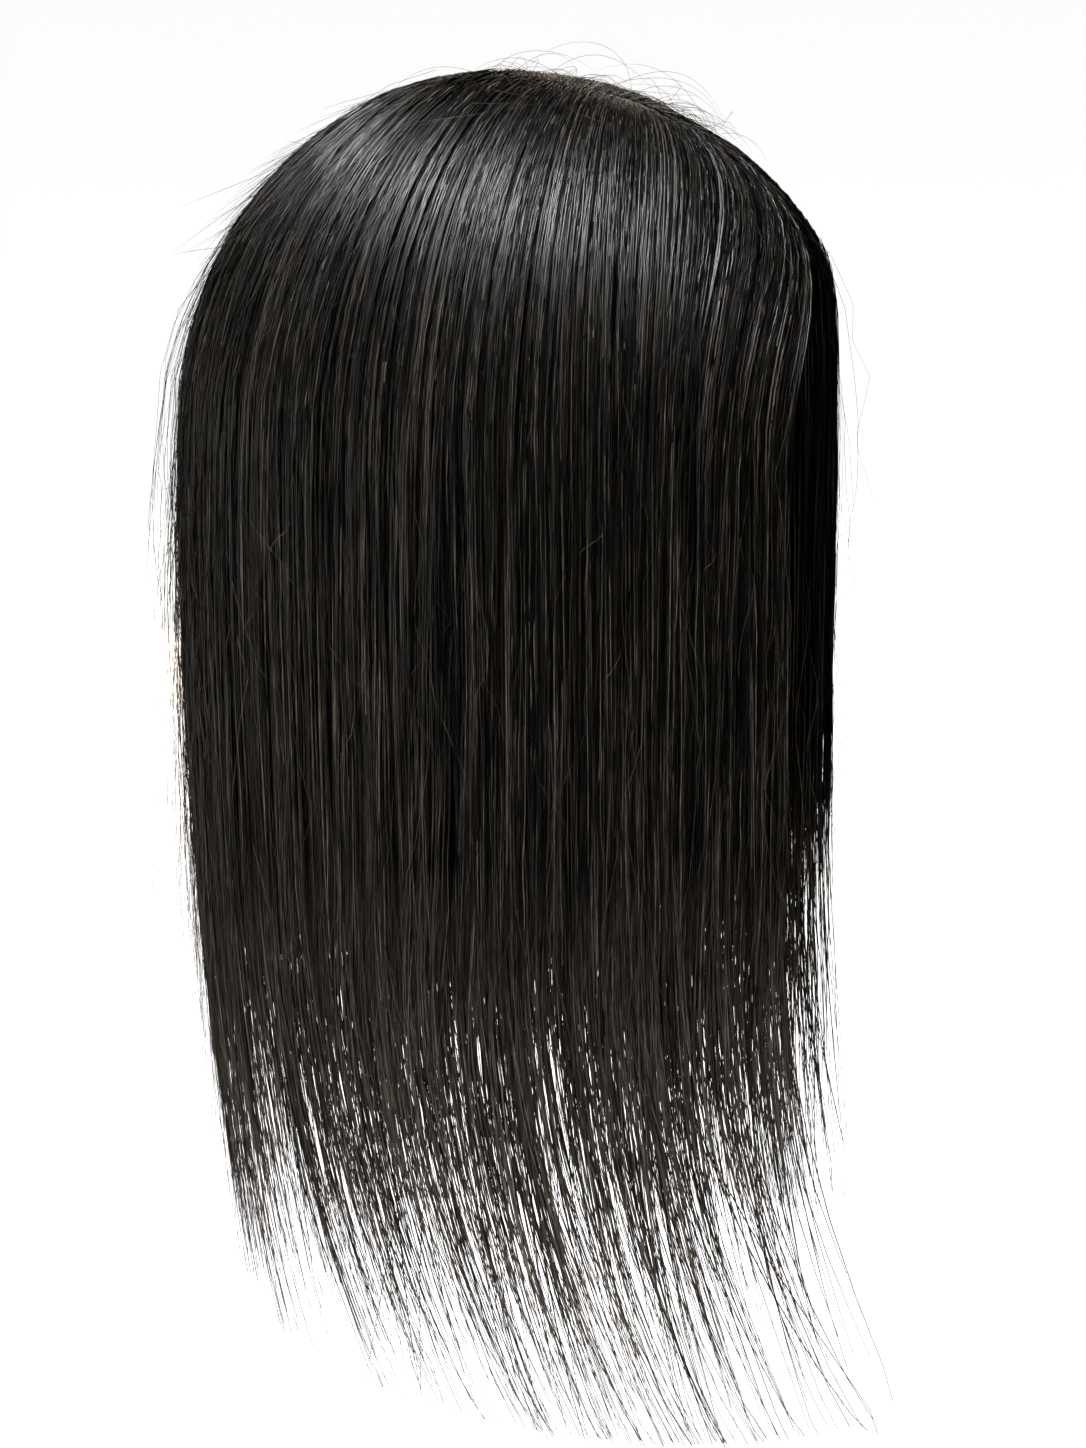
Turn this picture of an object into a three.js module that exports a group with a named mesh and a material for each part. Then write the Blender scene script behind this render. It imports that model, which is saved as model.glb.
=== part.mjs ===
// A centre-parted hair topper, 16 inch straight hair on a domed oval base, in the shape it takes when worn.
// Millimetres. +Z is up, the wearer faces -Y, and the wearer's right is -X.
// The origin is where the top of the wearer's head meets the inside of the base.
import * as THREE from "three";

// The inside surface of the base, to the measures of an adult head.
const HEAD_HALF_BREADTH = 76;
const HEAD_HALF_LENGTH = 98;
const CROWN_TO_WIDEST = 100; // from the top of the head down to its widest level

// The base: a thin domed oval.
const BASE_WALL = 1.5;
const BASE_HALF_WIDTH = 60;
const BASE_FRONT_Y = -66;
const BASE_BACK_Y = 64;

// The hair as a whole.
const HAIR_LIFT = 2.0; // the hair's inside stands this far off the head, so it clears the base
const PART_HALF_GAP = 1.3; // half the width of the bare parting line
const PART_FRONT_Y = -78;
const PART_BACK_Y = 20; // the crown, where the hair fans out to the back
const PART_THICKNESS = 0.7; // thickness at the parting, as a share of the full thickness
const PART_RISE = 30; // the thickness is full this far from the parting
const LOCK_GAP = 0.45; // half the gap between neighbouring locks
const OUTER_HALF_BREADTH = 88;
const BACK_SWELL = 0.012; // how much the back swells out below the widest level, as a share of its half length

// How the hair hangs, by the angle round the head from the face (0) to the back (180).
// tip: how low the ends reach. pull: share by which it closes in on the neck. swing: how far the ends swing forward.
// wall: thickness left at the ends, as a share of the thickness at the widest level.
// length: half length of the outline there. crown: height of the outer surface over the widest level.
const HANG = {
  right: [
    { angle: 29, tip: -366, pull: 0.0, swing: 24, wall: 0.3, length: 102, crown: 103.6 },
    { angle: 60, tip: -366, pull: 0.02, swing: 28, wall: 0.3, length: 102, crown: 103.8 },
    { angle: 90, tip: -366, pull: 0.04, swing: 29, wall: 0.3, length: 103.8, crown: 106.2 },
    { angle: 120, tip: -360, pull: 0.06, swing: 26, wall: 0.28, length: 106, crown: 109.6 },
    { angle: 150, tip: -348, pull: 0.08, swing: 17, wall: 0.26, length: 108.4, crown: 109.6 },
    { angle: 180, tip: -336, pull: 0.09, swing: 8, wall: 0.26, length: 109, crown: 109.2 },
  ],
  left: [
    { angle: 39, tip: -336, pull: 0.0, swing: 7, wall: 0.3, length: 95, crown: 103.4 },
    { angle: 60, tip: -344, pull: 0.02, swing: 8, wall: 0.3, length: 97, crown: 103.4 },
    { angle: 90, tip: -349, pull: 0.04, swing: 8, wall: 0.3, length: 101, crown: 105.4 },
    { angle: 120, tip: -347, pull: 0.06, swing: 8, wall: 0.28, length: 105, crown: 108.6 },
    { angle: 150, tip: -341, pull: 0.08, swing: 8, wall: 0.26, length: 108.4, crown: 109.2 },
    { angle: 180, tip: -336, pull: 0.09, swing: 8, wall: 0.26, length: 109, crown: 109.2 },
  ],
};

// The locks that the hair falls in, each from one angle to the next.
// point: how much longer its middle is than its edges. narrow: share of its width left at the ends. fold: depth of the dent beside it.
const LOCKS = [
  { name: "lock_right_face", side: "right", from: 29, to: 50, point: 12, narrow: 0.66, fold: 0.22 },
  { name: "lock_right_temple", side: "right", from: 50, to: 72, point: 14, narrow: 0.7, fold: 0.2 },
  { name: "lock_right_ear", side: "right", from: 72, to: 96, point: 14, narrow: 0.7, fold: 0.18 },
  { name: "lock_right_side", side: "right", from: 96, to: 122, point: 14, narrow: 0.7, fold: 0.2 },
  { name: "lock_right_back", side: "right", from: 122, to: 150, point: 12, narrow: 0.7, fold: 0.2 },
  { name: "lock_right_nape", side: "right", from: 150, to: 180, point: 10, narrow: 0.7, fold: 0.16 },
  { name: "lock_left_face", side: "left", from: 39, to: 55, point: 12, narrow: 0.66, fold: 0.22 },
  { name: "lock_left_temple", side: "left", from: 55, to: 74, point: 14, narrow: 0.7, fold: 0.2 },
  { name: "lock_left_ear", side: "left", from: 74, to: 96, point: 14, narrow: 0.7, fold: 0.18 },
  { name: "lock_left_side", side: "left", from: 96, to: 122, point: 14, narrow: 0.7, fold: 0.2 },
  { name: "lock_left_back", side: "left", from: 122, to: 150, point: 12, narrow: 0.7, fold: 0.2 },
  { name: "lock_left_nape", side: "left", from: 150, to: 180, point: 10, narrow: 0.7, fold: 0.16 },
];
const LOCK_COLUMNS = 6;
const DOME_ROWS = 11;
const HANG_ROWS = 9;

// The snap clips sewn under the base: where each one's middle lies in plan, and how it is turned.
const CLIPS = [
  { name: "clip_front", x: 0, y: -50, turn: 0 },
  { name: "clip_back", x: 0, y: 46, turn: 180 },
  { name: "clip_right", x: -44, y: -2, turn: -90 },
  { name: "clip_left", x: 44, y: -2, turn: 90 },
];
const CLIP_LENGTH = 32;
const CLIP_WIDTH = 13;
const CLIP_THICKNESS = 1.2;
const CLIP_GAP = 0.35; // between the clip and the base that it is sewn to
const CLIP_TEETH = 6;

const HAIR_MATERIAL = new THREE.MeshStandardMaterial({ color: 0x1b1614, roughness: 0.42, metalness: 0 });
const BASE_MATERIAL = new THREE.MeshStandardMaterial({ color: 0x9a7a5f, roughness: 0.85, metalness: 0 });
const CLIP_MATERIAL = new THREE.MeshStandardMaterial({ color: 0x241d19, roughness: 0.4, metalness: 0.4 });

const clamp01 = (t) => Math.min(1, Math.max(0, t));
const smooth = (t) => clamp01(t) ** 2 * (3 - 2 * clamp01(t));
const mix = (a, b, t) => a + (b - a) * t;
const rad = (degrees) => (degrees * Math.PI) / 180;

// A column of a table, read at an angle between its rows.
function read(rows, column, angle) {
  if (angle <= rows[0].angle) return rows[0][column];
  for (let i = 1; i < rows.length; i++)
    if (angle <= rows[i].angle)
      return mix(rows[i - 1][column], rows[i][column], (angle - rows[i - 1].angle) / (rows[i].angle - rows[i - 1].angle));
  return rows[rows.length - 1][column];
}

// Where on the parting the hair that falls at this angle begins.
function partingY(rows, angle) {
  const u = clamp01((angle - rows[0].angle) / (180 - rows[0].angle));
  return mix(PART_FRONT_Y, PART_BACK_Y, Math.sin((u * Math.PI) / 2) ** 0.85);
}

// The half axes of the two domes between which the hair lies, at this angle.
function shell(rows, angle, outer) {
  if (!outer) return [HEAD_HALF_BREADTH + HAIR_LIFT, HEAD_HALF_LENGTH + HAIR_LIFT, CROWN_TO_WIDEST + HAIR_LIFT];
  return [OUTER_HALF_BREADTH, read(rows, "length", angle), read(rows, "crown", angle)];
}

// A point over the head, t from the parting (0) to the widest level (1), on the side where x is positive.
function domePoint(rows, angle, t, outer, nudge) {
  const [a, b, c] = shell(rows, angle, outer);
  const x = a * Math.sin(rad(angle)) * t;
  const y = mix(partingY(rows, angle) + nudge, -b * Math.cos(rad(angle)), t);
  const r = Math.min(1, Math.hypot(x / a, y / b));
  const clear = mix(PART_HALF_GAP, LOCK_GAP * (1 - Math.sin(rad(angle))), t);
  return new THREE.Vector3(x + clear, y, -CROWN_TO_WIDEST + c * Math.sqrt(1 - r * r));
}

// A point of the hanging hair, h from the widest level (0) to the ends (1).
function hangPoint(rows, angle, h, outer, point) {
  const out = domePoint(rows, angle, 1, true, 0);
  const wall = out.clone().sub(domePoint(rows, angle, 1, false, 0));
  const swell = BACK_SWELL * smooth((angle - 90) / 60) * 9.5 * h * (1 - h) ** 3;
  const closed = 1 + swell - read(rows, "pull", angle) * h ** 1.5;
  const swung = read(rows, "swing", angle) * clamp01((h - 0.5) / 0.5) ** 2;
  const p = new THREE.Vector3(out.x * closed, out.y * closed - swung, mix(-CROWN_TO_WIDEST, read(rows, "tip", angle) + point, h));
  return outer ? p : p.addScaledVector(wall, -mix(1, read(rows, "wall", angle), h));
}

// One lock: a curved wall of hair from the parting, over the head and down to its ends.
function lockGeometry(row) {
  const rows = HANG[row.side];
  const sign = row.side === "right" ? -1 : 1;
  const trim = THREE.MathUtils.radToDeg(LOCK_GAP / 100);
  const from = row.from + trim,
    to = row.to - trim,
    middle = (from + to) / 2;
  const levels = DOME_ROWS + HANG_ROWS;
  const at = (column, level, outer) => {
    const u = column / LOCK_COLUMNS;
    const edge = Math.abs(2 * u - 1);
    const thick = 1 - row.fold * edge ** 4;
    let inside, outside;
    if (level <= DOME_ROWS) {
      const t = Math.sin(((level / DOME_ROWS) * Math.PI) / 2);
      const nudge = LOCK_GAP * (1 - 2 * u);
      const angle = mix(from, to, u);
      inside = domePoint(rows, angle, t, false, nudge);
      outside = domePoint(rows, angle, t, true, nudge);
      const run = Math.hypot(inside.x, inside.y - partingY(rows, angle));
      const rise = mix(PART_THICKNESS, 1, smooth(run / PART_RISE));
      outside.lerp(inside, 1 - rise * thick);
    } else {
      const h = (level - DOME_ROWS) / HANG_ROWS;
      const narrow = mix(1, row.narrow, clamp01((h - 0.66) / 0.34) ** 2);
      const angle = mix(middle, mix(from, to, u), narrow);
      const point = row.point * edge ** 2;
      inside = hangPoint(rows, angle, h, false, point);
      outside = hangPoint(rows, angle, h, true, point).lerp(inside, 1 - thick);
    }
    const p = outer ? outside : inside;
    return [sign * p.x, p.y, p.z];
  };

  const across = LOCK_COLUMNS + 1;
  const vertices = [];
  for (const outer of [true, false])
    for (let level = 0; level <= levels; level++)
      for (let column = 0; column < across; column++) vertices.push(...at(column, level, outer));
  const id = (column, level, outer) => (outer ? 0 : across * (levels + 1)) + level * across + column;
  const faces = [];
  const quad = (a, b, c, d) => (sign > 0 ? faces.push(a, b, c, a, c, d) : faces.push(a, c, b, a, d, c));
  for (let level = 0; level < levels; level++) {
    for (let c = 0; c < LOCK_COLUMNS; c++) {
      quad(id(c, level, true), id(c, level + 1, true), id(c + 1, level + 1, true), id(c + 1, level, true));
      quad(id(c, level, false), id(c + 1, level, false), id(c + 1, level + 1, false), id(c, level + 1, false));
    }
    quad(id(0, level, true), id(0, level, false), id(0, level + 1, false), id(0, level + 1, true));
    quad(id(LOCK_COLUMNS, level, true), id(LOCK_COLUMNS, level + 1, true), id(LOCK_COLUMNS, level + 1, false), id(LOCK_COLUMNS, level, false));
  }
  for (let c = 0; c < LOCK_COLUMNS; c++) {
    quad(id(c, 0, true), id(c + 1, 0, true), id(c + 1, 0, false), id(c, 0, false));
    quad(id(c, levels, true), id(c, levels, false), id(c + 1, levels, false), id(c + 1, levels, true));
  }
  const geometry = new THREE.BufferGeometry();
  geometry.setAttribute("position", new THREE.Float32BufferAttribute(vertices, 3));
  geometry.setIndex(faces);
  geometry.computeVertexNormals();
  return geometry;
}

// A point on the head in plan (x, y), lifted off it along its normal.
function onHead(x, y, lift) {
  const a = HEAD_HALF_BREADTH,
    b = HEAD_HALF_LENGTH,
    c = CROWN_TO_WIDEST;
  const z = c * Math.sqrt(1 - (x / a) ** 2 - (y / b) ** 2);
  const normal = new THREE.Vector3(x / a ** 2, y / b ** 2, z / c ** 2).normalize();
  return new THREE.Vector3(x, y, z - c).addScaledVector(normal, lift);
}

// The base: rings of points from the middle to the oval rim, on the head's surface and one wall above it.
function baseGeometry() {
  const rings = 9,
    spokes = 40;
  const midY = (BASE_FRONT_Y + BASE_BACK_Y) / 2;
  const halfLength = (BASE_BACK_Y - BASE_FRONT_Y) / 2;
  const vertices = [];
  for (const lift of [BASE_WALL, 0]) {
    vertices.push(...onHead(0, midY, lift));
    for (let ring = 1; ring <= rings; ring++)
      for (let spoke = 0; spoke < spokes; spoke++) {
        const turn = (spoke / spokes) * 2 * Math.PI;
        const share = ring / rings;
        vertices.push(...onHead(BASE_HALF_WIDTH * share * Math.cos(turn), midY + halfLength * share * Math.sin(turn), lift));
      }
  }
  const layer = 1 + rings * spokes;
  const id = (ring, spoke, under) => (under ? layer : 0) + (ring === 0 ? 0 : 1 + (ring - 1) * spokes + (spoke % spokes));
  const faces = [];
  for (let spoke = 0; spoke < spokes; spoke++) {
    faces.push(id(0, 0, false), id(1, spoke, false), id(1, spoke + 1, false));
    faces.push(id(0, 0, true), id(1, spoke + 1, true), id(1, spoke, true));
    for (let ring = 1; ring < rings; ring++) {
      const [a, b, c, d] = [id(ring, spoke, false), id(ring + 1, spoke, false), id(ring + 1, spoke + 1, false), id(ring, spoke + 1, false)];
      faces.push(a, b, c, a, c, d);
      faces.push(a + layer, c + layer, b + layer, a + layer, d + layer, c + layer);
    }
    const [a, b] = [id(rings, spoke, false), id(rings, spoke + 1, false)];
    faces.push(a, a + layer, b + layer, a, b + layer, b);
  }
  const geometry = new THREE.BufferGeometry();
  geometry.setAttribute("position", new THREE.Float32BufferAttribute(vertices, 3));
  geometry.setIndex(faces);
  geometry.computeVertexNormals();
  return geometry;
}

// A snap clip, closed: a bowed bar with comb teeth, bent to the head and lying just under the base.
function clipGeometry(row) {
  const half = CLIP_LENGTH / 2;
  const bar = 3.6; // width of the bar that carries the teeth
  const outline = [];
  const steps = 12;
  for (let i = 0; i <= steps; i++) {
    const x = mix(-half, half, i / steps);
    outline.push(new THREE.Vector2(x, bar * Math.sqrt(Math.max(0, 1 - (x / half) ** 4)) + 0.6));
  }
  const pitch = (CLIP_LENGTH - 4) / CLIP_TEETH;
  for (let tooth = CLIP_TEETH - 1; tooth >= 0; tooth--) {
    const x = -half + 2 + pitch * (tooth + 0.5);
    const reach = -(CLIP_WIDTH - bar) * (1 - 0.25 * (x / half) ** 2);
    outline.push(new THREE.Vector2(x + 0.85, 0), new THREE.Vector2(x + 0.6, reach), new THREE.Vector2(x - 0.6, reach), new THREE.Vector2(x - 0.85, 0));
  }
  const flat = new THREE.ExtrudeGeometry(new THREE.Shape(outline), { depth: CLIP_THICKNESS, bevelEnabled: false, steps: 1 });
  const turn = rad(row.turn);
  const position = flat.getAttribute("position");
  for (let i = 0; i < position.count; i++) {
    const x = position.getX(i),
      y = position.getY(i) + 3;
    const p = onHead(
      row.x + x * Math.cos(turn) - y * Math.sin(turn),
      row.y + x * Math.sin(turn) + y * Math.cos(turn),
      position.getZ(i) - CLIP_THICKNESS - CLIP_GAP,
    );
    position.setXYZ(i, p.x, p.y, p.z);
  }
  flat.computeVertexNormals();
  return flat;
}

function named(name, geometry, material) {
  const mesh = new THREE.Mesh(geometry, material);
  mesh.name = name;
  return mesh;
}

const topper = new THREE.Group();
topper.add(named("base_cap", baseGeometry(), BASE_MATERIAL));
for (const row of CLIPS) topper.add(named(row.name, clipGeometry(row), CLIP_MATERIAL));
for (const row of LOCKS) topper.add(named(row.name, lockGeometry(row), HAIR_MATERIAL));

export default topper;
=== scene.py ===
import math

import bpy
import numpy as np
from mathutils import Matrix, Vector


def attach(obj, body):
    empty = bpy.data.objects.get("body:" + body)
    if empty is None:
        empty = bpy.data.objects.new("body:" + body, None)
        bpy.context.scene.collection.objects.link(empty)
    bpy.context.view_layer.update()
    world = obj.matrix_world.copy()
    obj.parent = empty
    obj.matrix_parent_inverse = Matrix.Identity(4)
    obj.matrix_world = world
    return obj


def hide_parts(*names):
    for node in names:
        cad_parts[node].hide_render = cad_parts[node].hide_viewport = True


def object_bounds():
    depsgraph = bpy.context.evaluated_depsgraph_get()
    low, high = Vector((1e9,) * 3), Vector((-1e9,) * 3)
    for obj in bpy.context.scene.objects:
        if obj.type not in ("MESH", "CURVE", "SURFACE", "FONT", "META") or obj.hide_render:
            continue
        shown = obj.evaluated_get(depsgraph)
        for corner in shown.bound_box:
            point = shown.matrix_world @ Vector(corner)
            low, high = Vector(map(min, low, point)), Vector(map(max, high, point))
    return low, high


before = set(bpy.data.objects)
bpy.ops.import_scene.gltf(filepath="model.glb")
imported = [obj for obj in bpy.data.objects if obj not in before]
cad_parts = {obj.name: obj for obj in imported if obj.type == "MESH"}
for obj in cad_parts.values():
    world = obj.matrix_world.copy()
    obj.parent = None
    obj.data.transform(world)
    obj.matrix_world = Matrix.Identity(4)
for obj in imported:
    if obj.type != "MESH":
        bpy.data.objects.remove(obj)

cad_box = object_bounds()
MM = 0.001

# ---------------------------------------------------------------------------
# The form of the hair, in millimetres: the same domes and hang as the CAD locks.
# ---------------------------------------------------------------------------
HEAD = (76.0, 98.0, 100.0)
HAIR_LIFT = 2.0
WIDEST_Z = -100.0
PART_FRONT_Y, PART_BACK_Y = -58.0, 20.0
PART_THICKNESS, PART_RISE = 0.7, 30.0
OUT_A = 88.0
BACK_SWELL = 0.012
HANG_COLUMNS = ("angle", "tip", "pull", "swing", "wall", "length", "crown")
HANG = {
    "right": np.array([
        (29, -366, 0.00, 24, 0.30, 102.0, 103.6), (60, -366, 0.02, 28, 0.30, 102.0, 103.8), (90, -366, 0.04, 29, 0.30, 103.8, 106.2),
        (120, -364, 0.06, 24, 0.28, 106.0, 109.6), (150, -358, 0.07, 10, 0.26, 108.4, 109.6), (180, -350, 0.08, 3, 0.26, 109.0, 109.2)]),
    "left": np.array([
        (39, -336, 0.00, 7, 0.30, 95.0, 103.4), (60, -344, 0.02, 8, 0.30, 97.0, 103.4), (90, -349, 0.04, 8, 0.30, 101.0, 105.4),
        (120, -350, 0.06, 8, 0.28, 105.0, 108.6), (150, -350, 0.07, 7, 0.26, 108.4, 109.2), (180, -350, 0.08, 6, 0.26, 109.0, 109.2)]),
}
LOCKS = (
    ("lock_right_face", "right", 29, 50), ("lock_right_temple", "right", 50, 72), ("lock_right_ear", "right", 72, 96),
    ("lock_right_side", "right", 96, 122), ("lock_right_back", "right", 122, 150), ("lock_right_nape", "right", 150, 180),
    ("lock_left_face", "left", 39, 55), ("lock_left_temple", "left", 55, 74), ("lock_left_ear", "left", 74, 96),
    ("lock_left_side", "left", 96, 122), ("lock_left_back", "left", 122, 150), ("lock_left_nape", "left", 150, 180),
)


def smooth(t):
    t = np.clip(t, 0, 1)
    return t * t * (3 - 2 * t)


def column(side, name, psi):
    rows = HANG[side]
    return np.interp(psi, rows[:, 0], rows[:, HANG_COLUMNS.index(name)])


def parting_y(side, psi):
    start = HANG[side][0, 0]
    u = np.clip((psi - start) / (180 - start), 0, 1)
    return PART_FRONT_Y + (PART_BACK_Y - PART_FRONT_Y) * np.sin(u * np.pi / 2) ** 0.85


def axes_of(side, psi, outer):
    one = np.ones_like(psi)
    if not outer:
        return (HEAD[0] + HAIR_LIFT) * one, (HEAD[1] + HAIR_LIFT) * one, (HEAD[2] + HAIR_LIFT) * one
    return OUT_A * one, column(side, "length", psi), column(side, "crown", psi)


def dome(side, psi, t, outer):
    a, b, c = axes_of(side, psi, outer)
    s = np.radians(psi)
    ex, ey, ry = a * np.sin(s), -b * np.cos(s), parting_y(side, psi)
    # at the front the hair first runs forward along the parting and then falls to the side
    front = smooth((64 - psi) / 34)
    qx, qy = ex * (0.5 - 0.56 * front), (ry + ey) / 2 + (-93 - (ry + ey) / 2) * front
    x = 2 * t * (1 - t) * qx + t * t * ex
    y = (1 - t) ** 2 * ry + 2 * t * (1 - t) * qy + t * t * ey
    r = np.clip(np.hypot(x / a, y / b), 0, 1)
    return np.stack([x, y, WIDEST_Z + c * np.sqrt(1 - r * r)], -1)


def place(side, psi, t, h, depth):
    """Points of the hair on the side where x is positive, and the outward direction there. depth is 0 inside and 1 outside."""
    inner, outer = dome(side, psi, t, False), dome(side, psi, t, True)
    run = np.hypot(inner[..., 0], inner[..., 1] - parting_y(side, psi))
    rise = PART_THICKNESS + (1 - PART_THICKNESS) * smooth(run / PART_RISE)
    on_dome = inner + (outer - inner) * (rise * depth)[..., None]
    one = np.ones_like(psi)
    out1, in1 = dome(side, psi, one, True), dome(side, psi, one, False)
    swell = BACK_SWELL * smooth((psi - 90) / 60) * 9.5 * h * np.clip(1 - h, 0, 1) ** 3
    closed = 1 + swell - column(side, "pull", psi) * h ** 1.5
    swung = column(side, "swing", psi) * np.clip((h - 0.5) / 0.5, 0, 1.2) ** 2
    wall = 1 + (column(side, "wall", psi) - 1) * h
    hang = np.stack([out1[..., 0] * closed, out1[..., 1] * closed - swung, WIDEST_Z + (column(side, "tip", psi) - WIDEST_Z) * h], -1)
    hang = hang - (out1 - in1) * (wall * (1 - depth))[..., None]
    low = (h > 0)[..., None]
    a, b, c = axes_of(side, psi, True)
    z = np.where(h > 0, 0.0, on_dome[..., 2] - WIDEST_Z)
    normal = np.stack([np.where(h > 0, out1[..., 0], on_dome[..., 0]) / a ** 2, np.where(h > 0, out1[..., 1], on_dome[..., 1]) / b ** 2, z / c ** 2], -1)
    normal /= np.linalg.norm(normal, axis=-1, keepdims=True)
    return np.where(low, hang, on_dome), normal


def across_of(side, psi):
    """The level direction along the hair wall, towards the back."""
    s = np.radians(psi)
    a, b, _ = axes_of(side, psi, True)
    v = np.stack([a * np.cos(s), b * np.sin(s), np.zeros_like(s)], -1)
    return v / np.linalg.norm(v, axis=-1, keepdims=True)


# ---------------------------------------------------------------------------
# Strands
# ---------------------------------------------------------------------------
STRAND_WIDTH = 0.34
# the share of the strands that reaches at least this far down, from the widest level (0) to the tips (1)
REACH = np.array([(0.48, 1.0), (0.54, 0.64), (0.59, 0.40), (0.64, 0.31), (0.714, 0.265), (0.77, 0.24), (0.818, 0.215),
                  (0.87, 0.178), (0.922, 0.125), (0.974, 0.066), (1.02, 0.022), (1.05, 0.0)])
# and the same at the back of the head and beside the face, where the hair thins out sooner
REACH_BACK = np.array([(0.48, 1.0), (0.54, 0.62), (0.60, 0.36), (0.65, 0.26), (0.69, 0.21), (0.75, 0.145), (0.806, 0.105),
                       (0.86, 0.078), (0.916, 0.052), (0.97, 0.028), (1.02, 0.010), (1.05, 0.0)])


def noise1(rng, n, knots):
    """n smooth random curves with that many knots, read by the function it gives at 0..1."""
    values = rng.normal(size=(n, knots))

    def at(which, u):
        x = np.clip(u, 0, 1) * (knots - 1)
        i = np.clip(x.astype(int), 0, knots - 2)
        f = smooth(x - i)
        return values[which, i] * (1 - f) + values[which, i + 1] * f

    return at


def within(points, room=12.0):
    """Keeps the hair near the outline of the CAD model."""
    low = np.array(cad_box[0]) / MM - room
    high = np.array(cad_box[1]) / MM + room
    span = 9.0
    over = np.clip(points - (high - span), 0, None)
    points = points - over + span * np.tanh(over / span)
    under = np.clip((low + span) - points, 0, None)
    return points + under - span * np.tanh(under / span)


def density(side, psi):
    """How full the hair is at this angle, from 0 to 1: thin at the front edge and in a few narrow streaks."""
    start = HANG[side][0, 0]
    d = 0.6 + 0.4 * smooth((psi - start) / 12)
    if side == "right":
        d = d * (1 - 0.35 * np.exp(-(((psi - 97) / 3.2) ** 2)) - 0.45 * np.exp(-(((psi - 109) / 2.2) ** 2)))
    return d


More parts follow.
